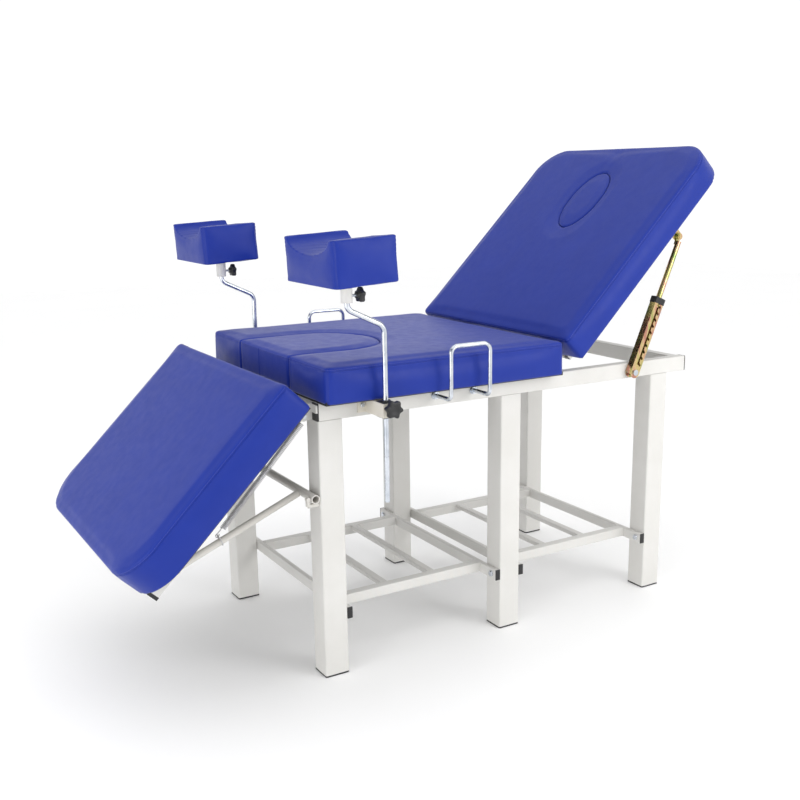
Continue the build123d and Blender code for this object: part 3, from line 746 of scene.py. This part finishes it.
def mesh_of(bm, name):
    bmesh.ops.recalc_face_normals(bm, faces=bm.faces[:])
    mesh = bpy.data.meshes.new(name)
    bm.to_mesh(mesh)
    bm.free()
    return mesh


# ---- springs under the leg section ----
SPRING_TILT = math.radians(46.9)
SPRING_LENGTH = 325 * MM
SPRING_PLANE = 224 * MM
PROP_TILT = math.radians(22.47)
LOOP_RADIUS = 9.6 * MM
LOOP_WIRE = 1.1 * MM
HOOK_LENGTH = 18 * MM
COIL_RADIUS = 6.0 * MM
WIRE_RADIUS = 1.15 * MM
COIL_PITCH = 3.6 * MM
EYE_RADIUS = 3.4 * MM
EYE_STRETCH = 1.45          # the eyes are oval, so that they clear their pins when squashed


def spring_path(start, along, rise):
    """An eye round the upper pin, the coil, and a straight tail with an eye at the lower end."""
    side = Vector((0, 1, 0))
    path = []
    for step in range(15):
        angle = math.radians(-150 + step * 20)
        oval = along * (math.cos(angle) * EYE_STRETCH) + rise * math.sin(angle)
        path.append(start + oval * EYE_RADIUS)
    path.append(start + along * (HOOK_LENGTH * 0.7) + rise * (COIL_RADIUS * 0.3))
    coil_length = SPRING_LENGTH - 2 * HOOK_LENGTH
    steps = int(coil_length / COIL_PITCH * 12)
    for step in range(steps + 1):
        angle = math.tau * step / 12
        reach = HOOK_LENGTH + coil_length * step / steps
        path.append(start + along * reach
                    + (side * math.sin(angle) + rise * math.cos(angle)) * COIL_RADIUS)
    end = start + along * SPRING_LENGTH
    path.append(end - along * (HOOK_LENGTH * 0.7) + rise * (COIL_RADIUS * 0.3))
    for step in range(15):
        angle = math.radians(130 - step * 20)
        oval = along * (math.cos(angle) * EYE_STRETCH) + rise * math.sin(angle)
        path.append(end + oval * EYE_RADIUS)
    return path


def sloping(angle):
    """The direction down toward the foot end at an angle, and the one square to it."""
    along = Vector((-math.cos(angle), 0, -math.sin(angle)))
    rise = Vector((-math.sin(angle), 0, math.cos(angle)))
    return along, rise


def make_springs():
    pivot = Vector(joints["spring_hinge"]["pos_m"])
    along, rise = sloping(SPRING_TILT)
    bm = bmesh.new()
    for _, side in SIDES:
        start = Vector((pivot.x, side * SPRING_PLANE, pivot.z))
        swept(bm, spring_path(start, along, rise), WIRE_RADIUS, 6)
    coils = new_piece("prop_spring_coils", mesh_of(bm, "coils"), "spring_steel", "prop_springs")
    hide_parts("prop_springs")
    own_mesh(coils)


def make_spring_loops():
    """Wire loops round the prop's arms, which hold the springs' lower eyes."""
    spring_pivot = Vector(joints["spring_hinge"]["pos_m"])
    along, _ = sloping(SPRING_TILT)
    prop_pivot = Vector(joints["prop_hinge"]["pos_m"])
    arm, rise = sloping(PROP_TILT)
    side_axis = Vector((0, 1, 0))
    end = spring_pivot + along * SPRING_LENGTH - prop_pivot
    reach = end.dot(arm)
    height = end.dot(rise) + EYE_RADIUS * 0.4
    bm = bmesh.new()
    for _, side in SIDES:
        centre = prop_pivot + arm * reach + side_axis * (side * SPRING_PLANE)
        path = []
        for step in range(23):
            angle = math.radians(20 - step * 10)
            path.append(centre + (side_axis * math.cos(angle) + rise * math.sin(angle)) * LOOP_RADIUS)
        for across, up in ((-3.4, -3.0), (-1.8, 0), (1.8, 0), (3.4, -3.0)):
            path.append(centre + side_axis * (across * MM) + rise * (height + up * MM))
        path.append(path[0].copy())
        swept(bm, path, LOOP_WIRE, 6)
    loops = new_piece("prop_spring_loops", mesh_of(bm, "loops"), "spring_steel", "leg_prop")


# ---- knobs ----
THREAD_PITCH = 1.5 * MM
THREAD_DEPTH = 0.45 * MM
LOBE_POINTS = 14
CLAMP_KNOB = {"radius": 21.5 * MM, "thickness": 15 * MM, "lobes": 6, "phase": -0.15,
              "hub_radius": 8 * MM, "hub_depth": 6 * MM}
PAD_KNOB = {"radius": 17 * MM, "thickness": 12 * MM, "lobes": 5, "phase": 0.3,
            "hub_radius": 6.5 * MM, "hub_depth": 5 * MM}
CLAMP_SCREW_RADIUS = 3.9 * MM
PAD_SCREW_RADIUS = 2.9 * MM


def around(radius, angle, height):
    return Vector((radius * math.cos(angle), radius * math.sin(angle), height))


def lobed_ring(bm, place, radius, lobes, phase, height, inset):
    """One ring of a lobed hand knob, in the knob's own frame."""
    ring = []
    count = lobes * LOBE_POINTS
    for number in range(count):
        angle = math.tau * number / count
        wave = 0.5 + 0.5 * math.cos(lobes * (angle - phase))
        reach = radius * (0.76 + 0.24 * wave ** 1.3) - inset
        ring.append(bm.verts.new(place @ around(reach, angle, height)))
    return ring


def round_ring(bm, place, radius, count, height):
    ring = []
    for number in range(count):
        angle = math.tau * number / count
        ring.append(bm.verts.new(place @ around(radius, angle, height)))
    return ring


def knob_mesh(place, radius, thickness, lobes, phase, hub_radius, hub_depth):
    """A moulded knob: a rounded lobed head with a dished front, and a round hub behind it."""
    bm = bmesh.new()
    count = lobes * LOBE_POINTS
    rings = [round_ring(bm, place, hub_radius * 0.5, count, -hub_depth),
             round_ring(bm, place, hub_radius, count, -hub_depth),
             round_ring(bm, place, hub_radius * 1.15, count, 0)]
    for share, inset in ((0.02, 2.2), (0.08, 0.9), (0.2, 0.2), (0.35, 0.0), (0.7, 0.0),
                         (0.86, 0.35), (0.95, 1.1), (1.0, 2.3)):
        rings.append(lobed_ring(bm, place, radius, lobes, phase, thickness * share, inset * MM))
    rings.append(round_ring(bm, place, radius * 0.45, count, thickness * 0.985))
    rings.append(round_ring(bm, place, radius * 0.38, count, thickness * 0.94))
    closed_tube(bm, rings)
    return mesh_of(bm, "knob")


def screw_mesh(place, radius, length):
    """A threaded shaft, pointing back from the knob."""
    bm = bmesh.new()
    steps = int(length / THREAD_PITCH * 16)
    rings = []
    for step in range(steps + 1):
        z = -length * step / steps
        ring = []
        for number in range(16):
            angle = math.tau * number / 16
            turn = (z / THREAD_PITCH + number / 16) % 1
            depth = abs(turn - 0.5) * 2 * THREAD_DEPTH
            reach = radius - depth
            ring.append(bm.verts.new(place @ around(reach, angle, z)))
        rings.append(ring)
    closed_tube(bm, rings)
    return mesh_of(bm, "screw")


def facing(place, outward):
    """A frame at a place whose Z axis points outward."""
    turn = Vector(outward).to_track_quat("Z", "Y").to_matrix().to_4x4()
    return Matrix.Translation(place) @ turn


def make_knob(node, outward, grip_shape, screw_radius):
    """A hand knob and its screw, in place of the CAD knob, pointing outward."""
    low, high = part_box(node)
    middle = (low + high) / 2
    direction = Vector(outward)
    half = abs((high - low).dot(direction)) / 2
    back = middle + direction * (half - grip_shape["thickness"])
    place = facing(back, outward)
    grip = new_piece(node + "_grip", knob_mesh(place, **grip_shape), "black_plastic", node)
    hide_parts(node)
    length = 2 * half - grip_shape["thickness"]
    screw = new_piece(node + "_screw", screw_mesh(place, screw_radius, length), "zinc_steel", node)


def make_knobs():
    for side, sign in SIDES:
        make_knob("clamp_knob_" + side, (0, sign, 0), CLAMP_KNOB, CLAMP_SCREW_RADIUS)
        make_knob("pad_knob_" + side, (1, 0, 0), PAD_KNOB, PAD_SCREW_RADIUS)


# ---- collars on the ratchet struts ----
STRUT_TILT = math.radians(23.6)
# half width, half depth, corner radius and height of each ring round a collar, in millimetres
COLLAR_RINGS = ((15.1, 10.1, 1.0, 190), (16.2, 11.2, 2.0, 190), (16.6, 11.6, 2.2, 191),
                (16.6, 11.6, 2.2, 205.4), (16.0, 11.0, 2.0, 206.5), (8.6, 8.6, 8.0, 206.5),
                (8.6, 8.6, 8.0, 205.3), (15.1, 10.1, 1.0, 205.3))


def corner_ring(bm, place, half_x, half_y, radius, height):
    """One ring of a rounded rectangle."""
    ring = []
    for corner, (sign_x, sign_y) in enumerate(((1, 1), (-1, 1), (-1, -1), (1, -1))):
        for step in range(5):
            angle = math.radians(90 * corner + 22.5 * step)
            x = sign_x * (half_x - radius) + radius * math.cos(angle)
            y = sign_y * (half_y - radius) + radius * math.sin(angle)
            ring.append(bm.verts.new(place @ Vector((x, y, height))))
    return ring


def make_collars():
    """A black moulded collar round the mouth of each strut's channel."""
    for side, _ in SIDES:
        place = Matrix.Translation(joints["strut_pivot_" + side]["pos_m"])
        place = place @ Matrix.Rotation(STRUT_TILT, 4, "Y")
        bm = bmesh.new()
        rings = [corner_ring(bm, place, half_x * MM, half_y * MM, radius * MM, height * MM)
                 for half_x, half_y, radius, height in COLLAR_RINGS]
        joined(bm, rings + [rings[0]])
        collar = new_piece("strut_collar_" + side, mesh_of(bm, "collar"), "black_plastic",
                           "strut_channel_" + side, smooth=False)


def level_box(node, level):
    mesh = nodes[node].data.copy()
    mesh.transform(level)
    points = points_of(mesh)
    bpy.data.meshes.remove(mesh)
    return points.min(axis=0), points.max(axis=0)


def near_outline(low, high, margin):
    """True close to a box's footprint: where two cushions stand side by side."""
    def test(points):
        inside = points[:, 0] > low[0] - margin
        inside &= points[:, 0] < high[0] + margin
        inside &= points[:, 1] > low[1] - margin
        inside &= points[:, 1] < high[1] + margin
        return inside
    return test


def make_upholstery():
    level = Matrix.Identity(4)
    upholster("seat_cushion", "seat_pad", "frame", board="seat_board", drop=SEAT_WRAP,
              hugs=near_outline(*level_box("seat_insert", level), NEIGHBOUR_MARGIN), corners=ALL_CORNERS)
    upholster("seat_insert", "seat_insert_pad", "seat_insert", hugs=everywhere, voxel=INSERT_VOXEL,
              foot_seam=INSERT_SEAM)

    backrest_level = swing_to_level("backrest_hinge", 0)
    plug_box = level_box("face_plug_cushion", backrest_level)
    upholster("backrest_cushion", "backrest_pad", "backrest", backrest_level,
              board="backrest_board", drop=SECTION_WRAP, hugs=near_outline(*plug_box, NEIGHBOUR_MARGIN))
    upholster("face_plug_cushion", "face_plug_pad", "face_plug", backrest_level, hugs=everywhere,
              voxel=SMALL_VOXEL, cap=PLUG_CAP, seam=False)

    leg_level = swing_to_level("leg_section_hinge", 1)
    upholster("leg_section_cushion", "leg_section_pad", "leg_section", leg_level,
              board="leg_section_board", drop=SECTION_WRAP)

    for side, _ in SIDES:
        upholster("knee_pad_" + side, "knee_rest_pad_" + side, "knee_pad_" + side, voxel=SMALL_VOXEL,
                  cap=KNEE_CAP, seam=False, corners=ALL_CORNERS)


add_camera()
add_world()
add_overhead()
add_area_light("key", (1.2, -2.4, 1.5), (0.1, 0, 0.8), 1.4, 22)
add_area_light("fill", (-3.4, -1.0, 0.9), (-0.3, 0, 0.3), 2.2, 30)
add_floor()
finish_cad_nodes()
make_upholstery()
make_springs()
make_spring_loops()
make_knobs()
make_collars()
